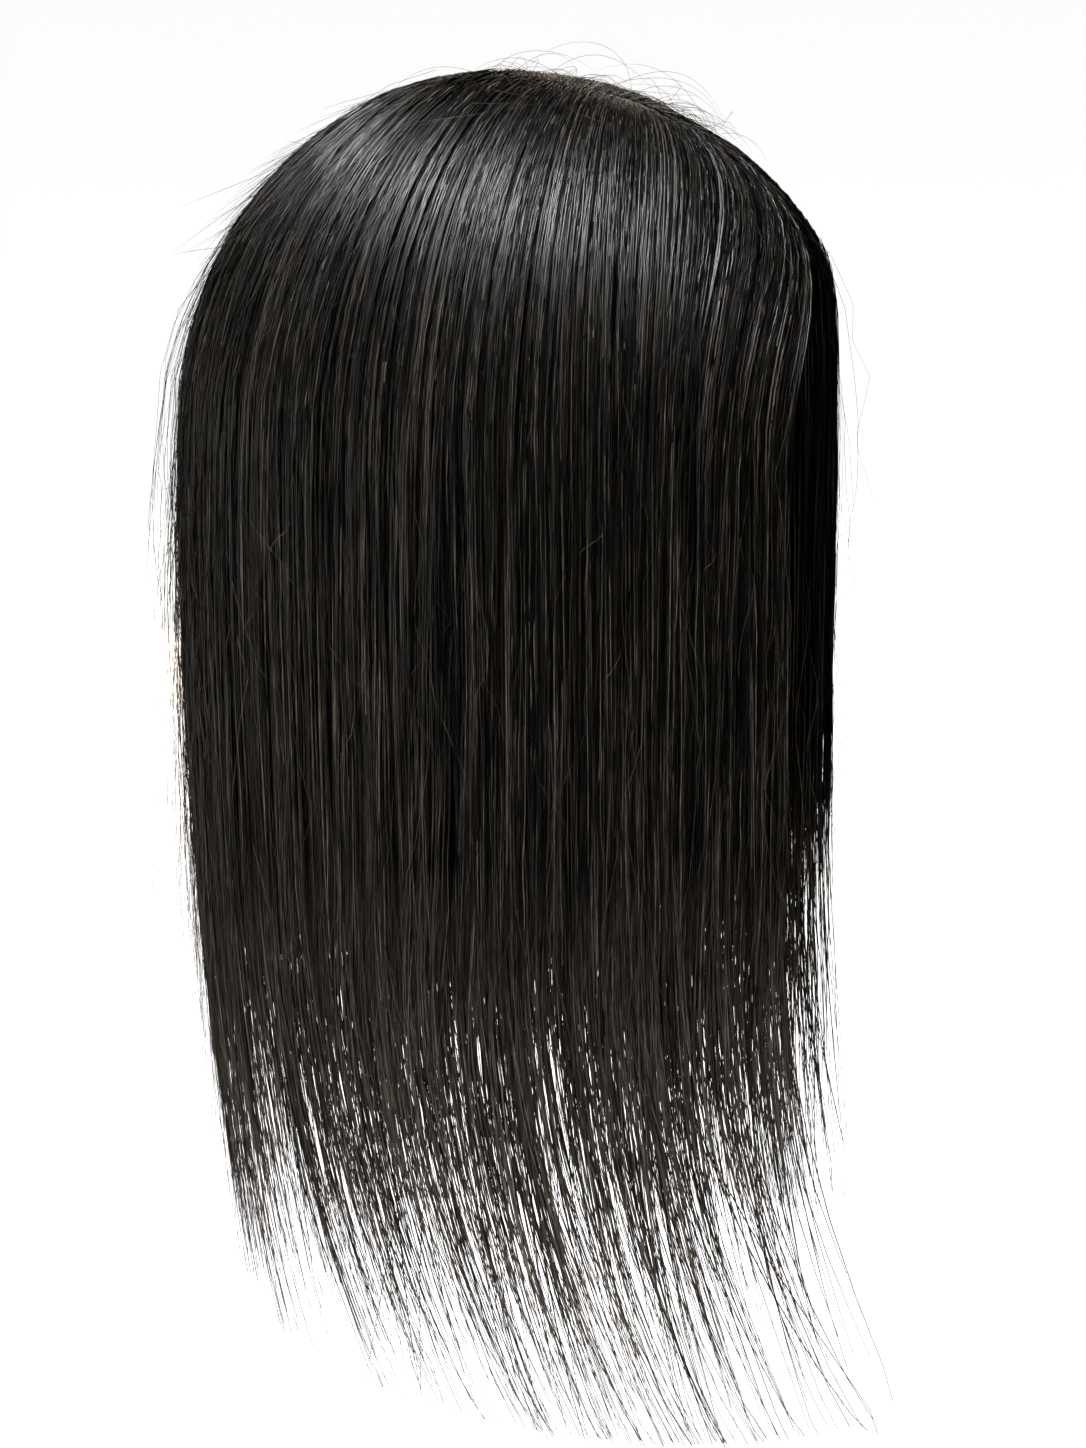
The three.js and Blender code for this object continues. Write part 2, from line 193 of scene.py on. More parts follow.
def strand_paths(rng, side, psi_from, psi_to, count, top, dome_points, hang_points):
    """Points (strand, point, xyz) in mm, their outward directions, each point's share of the length, and each strand's lean within its tuft."""
    # angle, thinned where the hair is thin
    psi = np.empty(0)
    while len(psi) < count:
        try_psi = rng.uniform(psi_from, psi_to, count)
        psi = np.concatenate([psi, try_psi[rng.uniform(size=count) < density(side, try_psi)]])
    psi = np.sort(psi[:count])

    # where it is rooted: mostly along the parting, the rest over the base
    root = np.where(rng.uniform(size=count) < 0.5, rng.uniform(0.004, 0.03, count), rng.uniform(0.03, 0.62, count) ** 1.1)
    depth = np.clip(1.02 - 0.75 * root / 0.62 - np.abs(rng.normal(0, 0.22, count)), 0.02, 1.04)
    inside = rng.uniform(size=count) < 0.12
    depth = np.where(inside, rng.uniform(0.0, 0.3, count), depth)
    if top:
        root = rng.uniform(0.004, 0.05, count)
        depth = 1.03 - np.abs(rng.normal(0, 0.05, count))

    # small tufts within larger ones
    big_at = np.arange(psi_from - 6, psi_to + 12, 6.5)
    big_at = big_at + rng.uniform(-1.6, 1.6, len(big_at))
    small_at = np.arange(psi_from - 3, psi_to + 4, 1.05)
    small_at = small_at + rng.uniform(-0.4, 0.4, len(small_at))
    small = np.abs(psi[:, None] + rng.normal(0, 0.2, count)[:, None] - small_at[None]).argmin(1)
    big = np.abs(small_at[:, None] + rng.normal(0, 0.8, len(small_at))[:, None] - big_at[None]).argmin(1)[small]
    in_tuft = np.clip((psi - small_at[small]) / 0.55, -1.2, 1.2)

    # how far down it reaches
    draw = rng.uniform(size=count)
    at_front = (0.6 if side == "right" else 0.3) * (1 - smooth((psi - 60) / 16))
    at_back = rng.uniform(size=count) < smooth((psi - 128) / 30) + at_front
    reach = np.where(at_back, np.interp(draw, REACH_BACK[::-1, 1], REACH_BACK[::-1, 0]), np.interp(draw, REACH[::-1, 1], REACH[::-1, 0]))
    longer = 1 + 0.10 * rng.normal(size=len(big_at))[big] + 0.20 * rng.normal(size=len(small_at))[small]
    reach = np.clip(0.48 + (reach - 0.48) * np.clip(longer, 0.4, 1.4), 0.48, 1.05)
    start = HANG[side][0, 0]
    short = rng.uniform(size=count) < (0.45 if side == "right" else 0.4) * (1 - smooth((psi - start - 3) / 12))
    reach = np.where(short, rng.uniform(0.08, 0.55, count), reach)

    # the path: over the dome, then down
    k = dome_points + hang_points - 1
    shift = rng.uniform(-0.35, 0.35, (count, 1))
    over = np.arange(dome_points)[None] + shift * (np.arange(dome_points)[None] % (dome_points - 1) > 0)
    theta0 = np.arcsin(root)[:, None]
    theta = theta0 + (np.pi / 2 - theta0) * over / (dome_points - 1)
    t = np.concatenate([np.sin(theta), np.ones((count, hang_points - 1))], 1)
    step = np.arange(1, hang_points)[None]
    down = 1 - (1 - (step + shift * (step < hang_points - 1)) / (hang_points - 1)) ** 1.25
    h = np.concatenate([np.zeros((count, dome_points)), down * reach[:, None]], 1)
    u = np.concatenate([0.32 * over / (dome_points - 1), 0.32 + 0.68 * h[:, dome_points:]], 1)  # along the whole path

    gather_small = (0.05 + 0.52 * smooth((h - 0.15) / 0.8)) * rng.uniform(0.0, 1.0, count)[:, None]
    gather_big = 0.07 * smooth((h - 0.35) / 0.65) * rng.uniform(0.0, 1.0, count)[:, None]
    angle = psi[:, None] + (small_at[small] - psi)[:, None] * gather_small + (big_at[big] - small_at[small])[:, None] * gather_big
    lowest = start - 0.5
    angle = np.where(angle < lowest, lowest + (angle - lowest) * 0.3, angle)
    over_back = angle > 180
    angle = np.where(over_back, 360 - angle, angle)

    # tufts lie at slightly different depths, and each is thickest along its middle
    tuft_depth = noise1(rng, len(small_at), 6)
    d = depth[:, None] + 0.10 * tuft_depth(small[:, None], u) * smooth(u / 0.2)
    d = np.clip(d, 0.0, 1.12) * smooth(over_root(theta, theta0, root, h))
    points, normal = place(side, angle, t, h, d)
    across = across_of(side, angle)
    flip = np.where(over_back, -1.0, 1.0)

    # sideways drift, growing towards the ends
    big_side, small_side, own_side = noise1(rng, len(big_at), 5), noise1(rng, len(small_at), 5), noise1(rng, count, 6)
    own = np.arange(count)[:, None]
    crimp_wave = noise1(rng, count, 26)
    crimp = (lambda which, along: 0.26 * crimp_wave(which, along)) if top else (lambda which, along: 0.0)
    lean = (rng.normal(0, 1.2, len(big_at))[big] + rng.normal(0, 2.0, len(small_at))[small] + rng.normal(0, 3.0, count))[:, None]
    wild = (rng.uniform(size=count) < 0.08)[:, None]
    lean = lean + wild * rng.normal(0, 8, (count, 1))
    fall = np.clip(h - 0.42, 0, None)
    side_mm = (
        0.5 * big_side(big[:, None], u) * smooth(u / 0.35) + 0.9 * big_side(big[:, None], u) * smooth((h - 0.2) / 0.8)
        + 0.36 * small_side(small[:, None], u) * smooth(u / 0.3) + 1.5 * small_side(small[:, None], u) * smooth((h - 0.3) / 0.7)
        + 0.30 * own_side(own, u) * smooth(u / 0.15) + crimp(own, u) * smooth(u / 0.1) * (1 - 0.7 * smooth((h - 0.45) / 0.2)) + 0.9 * own_side(own, u) * smooth((h - 0.35) / 0.65)
        - np.tan(np.radians(lean)) * 240 * fall ** 1.6
    )
    own_out, tuft_out = noise1(rng, count, 7), noise1(rng, len(small_at), 12)
    out_mm = (
        0.14 * own_out(own, u) + 0.20 * tuft_out(small[:, None], u) * smooth(u / 0.12) + 0.22 * (1 - np.clip(in_tuft, -1, 1)[:, None] ** 2) * smooth(u / 0.1)
        + 1.1 * own_out(own, u) * smooth((h - 0.45) / 0.55) * np.where(wild, 2.5, 1.0)
    )
    if side == "left":  # the front of this side is full enough to hide the edge of the base
        out_mm = out_mm + 1.1 * smooth((-44 - points[..., 1]) / 14) * smooth((72 - psi) / 16)[:, None] * (h <= 0) * (1 - smooth((t - 0.6) / 0.35))
    points = points + across * (side_mm * flip)[..., None] + normal * out_mm[..., None]
    points[..., 0] = np.where(over_back, -points[..., 0], points[..., 0])
    normal[..., 0] = np.where(over_back, -normal[..., 0], normal[..., 0])
    # near the parting each strand stands clear of the bare line
    crossing = smooth((52 - psi) / 14)
    clear = (rng.uniform(0.05, 1.3, count) - crossing * rng.uniform(0.0, 3.0, count))[:, None] * (1 - smooth(t / 0.5))
    points[..., 0] += clear
    turned = in_tuft * (1 if side == "left" else -1) * np.where(psi > 180, -1, 1)
    if side == "right":
        points[..., 0] *= -1
        normal[..., 0] *= -1
    return within(points, 13.0), normal, u, turned


def over_root(theta, theta0, root, h):
    """0 at the root and 1 once the strand has risen out of the base to its own depth."""
    run = (theta - theta0) / 0.16
    full = np.concatenate([run, np.full(h[:, run.shape[1]:].shape, 9.0)], 1)
    return 0.15 + full


def ribbons(name, points, normal, u, width, turned, rng, material, uv_rows=400):
    """One mesh of thin ribbons, each turned a little about its own run, with the rounded shading of a strand."""
    n, k, _ = points.shape
    along = np.gradient(points, axis=1)
    along /= np.linalg.norm(along, axis=-1, keepdims=True) + 1e-9
    normal = normal - along * (normal * along).sum(-1, keepdims=True)
    normal /= np.linalg.norm(normal, axis=-1, keepdims=True) + 1e-9
    side = np.cross(along, normal)
    turn = 0.36 * turned[:, None] + rng.uniform(-0.62, 0.62, (n, 1)) + 0.5 * (u - 0.5) * rng.normal(size=(n, 1))
    c, s = np.cos(turn)[..., None], np.sin(turn)[..., None]
    across, facing = side * c + normal * s, normal * c - side * s
    half = (width / 2)[..., None]
    left, right = points - across * half, points + across * half
    verts = np.stack([left, right], 2).reshape(-1, 3) * MM
    round_off = math.radians(28)
    nl = facing * math.cos(round_off) - across * math.sin(round_off)
    nr = facing * math.cos(round_off) + across * math.sin(round_off)
    normals = np.stack([nl, nr], 2).reshape(-1, 3)

    base = (np.arange(n)[:, None] * k + np.arange(k - 1)[None]) * 2
    quads = np.stack([base, base + 1, base + 3, base + 2], -1).reshape(-1, 4)
    # the face's own side looks the way that the shading does
    mesh = bpy.data.meshes.new(name)
    mesh.vertices.add(len(verts))
    mesh.vertices.foreach_set("co", verts.astype(np.float32).ravel())
    mesh.loops.add(quads.size)
    mesh.loops.foreach_set("vertex_index", quads.astype(np.int32).ravel())
    mesh.polygons.add(len(quads))
    mesh.polygons.foreach_set("loop_start", np.arange(0, quads.size, 4, dtype=np.int32))
    mesh.polygons.foreach_set("loop_total", np.full(len(quads), 4, np.int32))
    mesh.polygons.foreach_set("use_smooth", np.ones(len(quads), bool))
    row = rng.integers(0, uv_rows, n)
    v0 = (row + 0.2) / uv_rows
    v1 = (row + 0.8) / uv_rows
    uu = np.clip(u, 0, 1) * 0.98 + 0.01
    uv = np.stack([np.stack([uu, np.broadcast_to(v0[:, None], uu.shape)], -1), np.stack([uu, np.broadcast_to(v1[:, None], uu.shape)], -1)], 2).reshape(-1, 2)
    layer = mesh.uv_layers.new(name="OFBake")
    layer.uv.foreach_set("vector", uv[quads.ravel()].astype(np.float32).ravel())
    mesh.update()
    mesh.normals_split_custom_set_from_vertices(normals.astype(np.float32))
    mesh.materials.append(material)
    obj = bpy.data.objects.new(name, mesh)
    bpy.context.scene.collection.objects.link(obj)
    return obj


# ---------------------------------------------------------------------------
# Materials
# ---------------------------------------------------------------------------
def new_material(name):
    m = bpy.data.materials.new(name)
    m.use_nodes = True
    nodes = m.node_tree.nodes
    nodes.clear()
    out = nodes.new("ShaderNodeOutputMaterial")
    bsdf = nodes.new("ShaderNodeBsdfPrincipled")
    m.node_tree.links.new(bsdf.outputs["BSDF"], out.inputs["Surface"])
    return m, nodes, m.node_tree.links, bsdf


def hair_material():
    m, nodes, links, bsdf = new_material("hair_strands")
    uv = nodes.new("ShaderNodeUVMap"); uv.uv_map = "OFBake"

    def streaks(along, across_, detail=2.0):
        stretch = nodes.new("ShaderNodeMapping"); stretch.inputs["Scale"].default_value = (along, across_, 1.0)
        links.new(uv.outputs["UV"], stretch.inputs["Vector"])
        noise = nodes.new("ShaderNodeTexNoise"); noise.noise_dimensions = "2D"
        noise.inputs["Scale"].default_value = 1.0; noise.inputs["Detail"].default_value = detail
        links.new(stretch.outputs["Vector"], noise.inputs["Vector"])
        return noise

    tone = streaks(3.0, 400.0)
    ramp = nodes.new("ShaderNodeValToRGB")
    e = ramp.color_ramp.elements
    e[0].position, e[0].color = 0.36, (0.0006, 0.0005, 0.0004, 1)
    e[1].position, e[1].color = 0.75, (0.0830, 0.0655, 0.0455, 1)
    mid = e.new(0.50); mid.color = (0.0020, 0.0017, 0.0013, 1)
    high = e.new(0.60); high.color = (0.0134, 0.0103, 0.0070, 1)
    links.new(tone.outputs["Fac"], ramp.inputs["Fac"])
    # painted light: the ends are painted lighter and browner than the roots, standing in for light that shines through
    # the thin ends
    sep = nodes.new("ShaderNodeSeparateXYZ"); links.new(uv.outputs["UV"], sep.inputs["Vector"])
    end_light_share = nodes.new("ShaderNodeMapRange")
    end_light_share.inputs["From Min"].default_value, end_light_share.inputs["From Max"].default_value = 0.60, 1.0
    end_light_share.inputs["To Min"].default_value, end_light_share.inputs["To Max"].default_value = 0.0, 0.8
    links.new(sep.outputs["X"], end_light_share.inputs["Value"])
    mix = nodes.new("ShaderNodeMix"); mix.data_type = "RGBA"
    own = streaks(1.5, 400.0, 0.0)
    # the painted light colours of the ends, varying from strand to strand
    end_light_colour = nodes.new("ShaderNodeValToRGB")
    e = end_light_colour.color_ramp.elements
    e[0].position, e[0].color = 0.36, (0.0120, 0.0085, 0.0065, 1)
    e[1].position, e[1].color = 0.66, (0.1700, 0.1340, 0.1020, 1)
    links.new(own.outputs["Fac"], end_light_colour.inputs["Fac"])
    links.new(end_light_colour.outputs["Color"], mix.inputs["B"])
    links.new(end_light_share.outputs["Result"], mix.inputs["Factor"])
    links.new(ramp.outputs["Color"], mix.inputs["A"])
    # each strand has its own gloss, and is a little uneven along its run
    uneven = streaks(70.0, 130.0, 1.0)
    shade = nodes.new("ShaderNodeMapRange")
    shade.inputs["From Min"].default_value, shade.inputs["From Max"].default_value = 0.35, 0.65
    shade.inputs["To Min"].default_value, shade.inputs["To Max"].default_value = 0.60, 1.40
    links.new(uneven.outputs["Fac"], shade.inputs["Value"])
    tint = nodes.new("ShaderNodeMix"); tint.data_type = "RGBA"; tint.blend_type = "MULTIPLY"
    tint.inputs["Factor"].default_value = 1.0
    links.new(mix.outputs["Result"], tint.inputs["A"]); links.new(shade.outputs["Result"], tint.inputs["B"])
    links.new(tint.outputs["Result"], bsdf.inputs["Base Color"])
    gloss = nodes.new("ShaderNodeMapRange")
    gloss.inputs["From Min"].default_value, gloss.inputs["From Max"].default_value = 0.3, 0.7
    gloss.inputs["To Min"].default_value, gloss.inputs["To Max"].default_value = 0.30, 0.46
    links.new(own.outputs["Fac"], gloss.inputs["Value"])
    links.new(gloss.outputs["Result"], bsdf.inputs["Roughness"])
    bump = nodes.new("ShaderNodeBump")
    bump.inputs["Strength"].default_value = 1.0; bump.inputs["Distance"].default_value = 0.00014
    links.new(uneven.outputs["Fac"], bump.inputs["Height"]); links.new(bump.outputs["Normal"], bsdf.inputs["Normal"])
    bsdf.inputs["IOR"].default_value = 1.55
    return m


HAIR = hair_material()

# ---------------------------------------------------------------------------
# The locks
# ---------------------------------------------------------------------------
LAYER_COLUMNS = ("layer", "strands a degree", "dome points", "hang points")
LAYERS = (("body", 40, 6, 11), ("top", 22, 11, 19))
BOLD = 1.0

strand_total = 0
for index, (name, side, psi_from, psi_to) in enumerate(LOCKS):
    for layer, (layer_name, density_here, dome_points, hang_points) in enumerate(LAYERS):
        rng = np.random.default_rng(4100 + index * 10 + layer)
        count = int((psi_to - psi_from) * density_here)
        points, normal, u, turned = strand_paths(rng, side, psi_from - 0.6, psi_to + 0.6, count, layer_name == "top", dome_points, hang_points)
        end = u[:, -1:]
        width = STRAND_WIDTH * BOLD * rng.uniform(0.75, 1.35, (count, 1)) * (1 - 0.5 * smooth((u / end - 0.86) / 0.14))
        piece = ribbons(name + "_" + layer_name, points, normal, u, width, turned, rng, HAIR)
        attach(piece, "root")
        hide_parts(name)
        strand_total += count
print("strands", strand_total)

# ---------------------------------------------------------------------------
# Loose hairs: fine tubes that stand off the rest
# ---------------------------------------------------------------------------
def tubes(name, points, radius, rng, material, uv_rows=400):
    n, k, _ = points.shape
    along = np.gradient(points, axis=1)
    along /= np.linalg.norm(along, axis=-1, keepdims=True) + 1e-9
    ref = np.where(np.abs(along[:, :1, 2:3]) > 0.8, np.array([1.0, 0.3, 0.0]), np.array([0.1, 0.2, 1.0]))
    e1 = np.cross(along, ref)
    e1 /= np.linalg.norm(e1, axis=-1, keepdims=True) + 1e-9
    e2 = np.cross(along, e1)
    ring = []
    for corner in range(3):
        q = 2 * math.pi * corner / 3
        ring.append(points + (e1 * math.cos(q) + e2 * math.sin(q)) * radius[..., None])
    verts = np.stack(ring, 2).reshape(-1, 3) * MM
    base = (np.arange(n)[:, None] * k + np.arange(k - 1)[None]) * 3
    quads = np.stack([np.stack([base + i, base + (i + 1) % 3, base + 3 + (i + 1) % 3, base + 3 + i], -1) for i in range(3)], 2).reshape(-1, 4)
    mesh = bpy.data.meshes.new(name)
    mesh.vertices.add(len(verts))
    mesh.vertices.foreach_set("co", verts.astype(np.float32).ravel())
    mesh.loops.add(quads.size)
    mesh.loops.foreach_set("vertex_index", quads.astype(np.int32).ravel())
    mesh.polygons.add(len(quads))
    mesh.polygons.foreach_set("loop_start", np.arange(0, quads.size, 4, dtype=np.int32))
    mesh.polygons.foreach_set("loop_total", np.full(len(quads), 4, np.int32))
    mesh.polygons.foreach_set("use_smooth", np.ones(len(quads), bool))
    row = rng.integers(0, uv_rows, n)
    v = (row[:, None, None] + 0.2 + 0.6 * np.array([0, 0.5, 1.0])[None, None]) / uv_rows
    uu = np.linspace(0.3, 0.95, k)[None, :, None]
    uv = np.stack(np.broadcast_arrays(uu, v), -1).reshape(-1, 2)
    layer = mesh.uv_layers.new(name="OFBake")
    layer.uv.foreach_set("vector", uv[quads.ravel()].astype(np.float32).ravel())
    mesh.update()
    mesh.materials.append(material)
    obj = bpy.data.objects.new(name, mesh)
    bpy.context.scene.collection.objects.link(obj)
    return obj


def loose_from_locks(rng, side, psi_from, psi_to, count, reach, out, start=0.2, curl=1.0, k=30):
    psi = rng.uniform(psi_from, psi_to, count)
    root = rng.uniform(0.01, 0.3, count)
    over = np.linspace(0, 1, 10)[None]
    theta0 = np.arcsin(root)[:, None]
    t = np.concatenate([np.sin(theta0 + (np.pi / 2 - theta0) * over), np.ones((count, k - 10))], 1)
    length = rng.uniform(reach[0], reach[1], count)
    h = np.concatenate([np.zeros((count, 10)), np.linspace(0, 1, k - 9)[None, 1:] * length[:, None]], 1)
    u = np.concatenate([0.32 * over + 0 * theta0, 0.32 + 0.68 * h[:, 10:]], 1)
    angle = np.broadcast_to(psi[:, None], h.shape).copy()
    mirrored = angle > 180
    angle = np.where(mirrored, 360 - angle, angle)
    points, normal = place(side, angle, t, h, np.full(h.shape, 1.0))
    across = across_of(side, angle)
    own = np.arange(count)[:, None]
    end = u[:, -1:]
    leaves = rng.uniform(start, start + 0.45, (count, 1))
    s = np.clip((u / end - leaves) / (1 - leaves), 0, 1)
    big = rng.exponential(out, count)[:, None]
    bow = noise1(rng, count, 5)(own, s)
    wave = noise1(rng, count, 11)
    out_mm = big * (0.75 * s ** 1.4 + 0.5 * np.sin(np.pi * s) * rng.uniform(-0.2, 1.0, (count, 1))) + 0.8 * curl * wave(own, s) * s
    side_mm = 3.5 * curl * bow * s + rng.normal(0, 8, (count, 1)) * s ** 1.5 + 0.9 * curl * noise1(rng, count, 12)(own, s) * smooth(s / 0.3)
    points = points + normal * np.abs(out_mm)[..., None] + across * side_mm[..., None]
    points[..., 0] = np.where(mirrored, -points[..., 0], points[..., 0])
    if side == "right":
        points[..., 0] *= -1
    return within(points)


def parting_hairs(rng, count, length, lift, k=16):
    """Short new hairs along the parting that stand up and curl over."""
    y = rng.uniform(PART_FRONT_Y + 4, PART_BACK_Y - 4, count)
    x = rng.normal(0, 3.5, count)
    z = WIDEST_Z + (HEAD[2] + 2.4) * np.sqrt(1 - (x / 80) ** 2 - (y / 101) ** 2)
    length = rng.uniform(length[0], length[1], count)
    heading = rng.uniform(0, 2 * np.pi, count)
    lift = rng.uniform(lift[0], lift[1], count)
    bend = rng.uniform(1.2, 3.2, count) * rng.choice([-1, 1], count)
    s = np.linspace(0, 1, k)[None]
    turn = heading[:, None] + bend[:, None] * s * rng.uniform(0.1, 0.8, (count, 1))
    rise = np.sin(np.minimum(s * np.pi * 0.9, np.pi)) * lift[:, None] * length[:, None] * 0.42
    step = length[:, None] / (k - 1)
    px = x[:, None] + np.cumsum(np.cos(turn) * step, 1) * 0.8
    py = y[:, None] + np.cumsum(np.sin(turn) * step, 1) * 0.8
    r = np.clip((px / 85) ** 2 + (py / 106) ** 2, 0, 0.97)
    ground = WIDEST_Z + 103.0 * np.sqrt(1 - r)
    nx, ny, nz = px / 88 ** 2, py / 108 ** 2, (ground - WIDEST_Z) / 106.5 ** 2
    m = np.sqrt(nx ** 2 + ny ** 2 + nz ** 2)
    up = 0.2 + rise
    return np.stack([px + nx / m * up, py + ny / m * up, ground + nz / m * up], -1)


def short_hairs(rng, side, psi_from, psi_to, count, length, lift, k=12, down=0.0, spread=0.7, clear=0.1):
    """Short broken hairs that leave the outer surface at a low angle."""
    psi = rng.uniform(psi_from, psi_to, count)
    along = rng.uniform(0.5 if down else 0.25, 0.98 + down, count)
    mirrored = psi > 180
    at = np.where(mirrored, 360 - psi, psi)
    hangs = along > 0.98
    t0, h0 = np.where(hangs, 1.0, along), np.where(hangs, along - 0.98, 0.0)
    p0, n0 = place(side, at, t0, h0, np.ones(count))
    p1, _ = place(side, at, np.where(hangs, 1.0, t0 + 0.02), np.where(hangs, h0 + 0.01, 0.0), np.ones(count))
    run = p1 - p0
    run /= np.linalg.norm(run, axis=-1, keepdims=True) + 1e-9
    across = across_of(side, at)
    heading = rng.normal(0, spread, count)
    ahead = run * np.cos(heading)[:, None] + across * np.sin(heading)[:, None]
    size = rng.uniform(length[0], length[1], count)
    s = np.linspace(0, 1, k)[None]
    rise = rng.uniform(lift[0], lift[1], (count, 1))
    bend = rng.normal(0, 0.85 * spread, (count, 1))
    forward = size[:, None] * s
    points = (p0[:, None] + ahead[:, None] * forward[..., None] + n0[:, None] * (forward * rise * (1 - 0.35 * s) + clear)[..., None]
              + across[:, None] * (bend * forward * s)[..., None])
    points[..., 0] = np.where(mirrored[:, None], -points[..., 0], points[..., 0])
    if side == "right":
        points[..., 0] *= -1
    return within(points)


rng = np.random.default_rng(977)
sets = [
    (loose_from_locks(rng, "right", 34, 150, 110, (0.2, 1.02), 1.6, k=26), 0.065),
    (loose_from_locks(rng, "right", 136, 200, 210, (0.2, 1.02), 4.5, start=0.08, curl=1.3), 0.075),
    (loose_from_locks(rng, "left", 140, 185, 24, (0.3, 1.0), 4.0, start=0.12), 0.06),
    (loose_from_locks(rng, "left", 40, 140, 50, (0.2, 1.02), 2.2, k=26), 0.06),
    (loose_from_locks(rng, "right", 29, 36, 16, (0.25, 0.9), 4.0, start=0.1, curl=1.8), 0.06),
    (loose_from_locks(rng, "left", 39, 48, 26, (0.25, 1.0), 5.5, start=0.1, curl=1.6), 0.07),
    (loose_from_locks(rng, "right", 40, 175, 60, (0.9, 1.06), 3.5, start=0.6, curl=1.3), 0.06),
    (loose_from_locks(rng, "right", 50, 150, 26, (0.1, 0.6), 0.9, start=0.15, curl=2.6), 0.075),
    (short_hairs(rng, "right", 80, 200, 100, (8, 26), (0.03, 0.26)), 0.055),
    (short_hairs(rng, "left", 60, 170, 40, (8, 22), (0.03, 0.26)), 0.055),
    (short_hairs(rng, "right", 125, 215, 230, (10, 32), (0.04, 0.42), down=0.45), 0.055),
    (loose_from_locks(rng, "right", 150, 205, 80, (0.55, 1.02), 5.0, start=0.2, curl=1.2), 0.06),
    (short_hairs(rng, "right", 92, 172, 230, (10, 36), (0.008, 0.06), down=0.3, spread=0.2, clear=0.6), 0.06),
    (short_hairs(rng, "right", 34, 95, 60, (10, 34), (0.008, 0.05), down=0.2, spread=0.16, clear=0.6), 0.055),
    (loose_from_locks(rng, "right", 145, 215, 70, (0.3, 1.02), 10.0, start=0.1, curl=2.2), 0.055),
    (loose_from_locks(rng, "left", 39, 60, 16, (0.1, 0.9), 9.0, start=0.05, curl=2.4), 0.055),
]
for number, (points, radius) in enumerate(sets):
    n, k, _ = points.shape
    r = radius * (1 - 0.7 * smooth((np.linspace(0, 1, k) - 0.7) / 0.3))[None] * np.ones((n, 1))
    piece = tubes("loose_hairs_%d" % (number + 1), points, r, rng, HAIR)
    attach(piece, "root")
points = np.concatenate([parting_hairs(rng, 150, (6, 26), (0.05, 0.4)), parting_hairs(rng, 26, (24, 52), (0.25, 0.6))])
r = 0.055 * (1 - 0.75 * smooth((np.linspace(0, 1, points.shape[1]) - 0.5) / 0.5))[None] * np.ones((len(points), 1))
piece = tubes("parting_hairs", points, r, rng, HAIR)
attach(piece, "root")

# ---------------------------------------------------------------------------
# The base: net with sewn tracks of hair round a silk crown, and a bound edge
# ---------------------------------------------------------------------------
BASE_HALF_WIDTH, BASE_FRONT_Y, BASE_BACK_Y = 60.0, -66.0, 64.0
BASE_MID_Y, BASE_HALF_LENGTH = (BASE_FRONT_Y + BASE_BACK_Y) / 2, (BASE_BACK_Y - BASE_FRONT_Y) / 2
CROWN_SHARE, HEM_SHARE = 0.46, 0.90


def on_head(x, y, lift):
    a, b, c = HEAD
    z = c * np.sqrt(np.clip(1 - (x / a) ** 2 - (y / b) ** 2, 0.01, 1))
    n = np.stack([x / a ** 2, y / b ** 2, z / c ** 2], -1)
    n /= np.linalg.norm(n, axis=-1, keepdims=True)
    return np.stack([x, y, z - c], -1) + n * np.asarray(lift)[..., None]


def on_base(share, turn, lift):
    """A point of the base. It is pressed thinner at the front, where the hair over it is thin."""
    share, turn, lift = np.broadcast_arrays(share, turn, lift)
    x, y = BASE_HALF_WIDTH * share * np.cos(turn), BASE_MID_Y + BASE_HALF_LENGTH * share * np.sin(turn)
    return on_head(x, y, np.where(lift > 0.3, lift * (1 - 0.5 * smooth((-40 - y) / 16)), lift))


def mesh_object(name, verts, faces, material, smooth_faces=True):
    mesh = bpy.data.meshes.new(name)
    mesh.from_pydata([tuple(v) for v in np.asarray(verts) * MM], [], [tuple(int(i) for i in f) for f in faces])
    mesh.polygons.foreach_set("use_smooth", [smooth_faces] * len(mesh.polygons))
    mesh.materials.append(material)
    mesh.update()
    obj = bpy.data.objects.new(name, mesh)
    bpy.context.scene.collection.objects.link(obj)
    return obj


def ring_faces(start, rows, around, closed_rows=False):
    """Faces of a grid of rows that run all the way round."""
    r = np.arange(rows if closed_rows else rows - 1)[:, None]
    c = np.arange(around)[None]
    r2, c2 = (r + 1) % rows, (c + 1) % around
    return (start + np.stack([r * around + c, r * around + c2, r2 * around + c2, r2 * around + c], -1)).reshape(-1, 4)


def net_material():
    m, nodes, links, bsdf = new_material("base_net")
    at = nodes.new("ShaderNodeTexCoord")
    cells = nodes.new("ShaderNodeTexVoronoi"); cells.voronoi_dimensions = "3D"; cells.feature = "DISTANCE_TO_EDGE"
    cells.inputs["Scale"].default_value = 900.0; cells.inputs["Randomness"].default_value = 0.35
    links.new(at.outputs["Object"], cells.inputs["Vector"])
    ramp = nodes.new("ShaderNodeValToRGB")
    e = ramp.color_ramp.elements
    e[0].position, e[0].color = 0.06, (0.34, 0.225, 0.150, 1)
    e[1].position, e[1].color = 0.20, (0.110, 0.072, 0.050, 1)
    links.new(cells.outputs["Distance"], ramp.inputs["Fac"])
    tone = nodes.new("ShaderNodeTexNoise"); tone.inputs["Scale"].default_value = 45.0; tone.inputs["Detail"].default_value = 3.0
    links.new(at.outputs["Object"], tone.inputs["Vector"])
    mix = nodes.new("ShaderNodeMix"); mix.data_type = "RGBA"; mix.blend_type = "MULTIPLY"
    mix.inputs["Factor"].default_value = 0.35
    links.new(ramp.outputs["Color"], mix.inputs["A"]); links.new(tone.outputs["Color"], mix.inputs["B"])
    links.new(mix.outputs["Result"], bsdf.inputs["Base Color"])
    bump = nodes.new("ShaderNodeBump"); bump.invert = True
    bump.inputs["Strength"].default_value = 0.6; bump.inputs["Distance"].default_value = 0.0003
    links.new(cells.outputs["Distance"], bump.inputs["Height"]); links.new(bump.outputs["Normal"], bsdf.inputs["Normal"])
    bsdf.inputs["Roughness"].default_value = 0.86
    return m


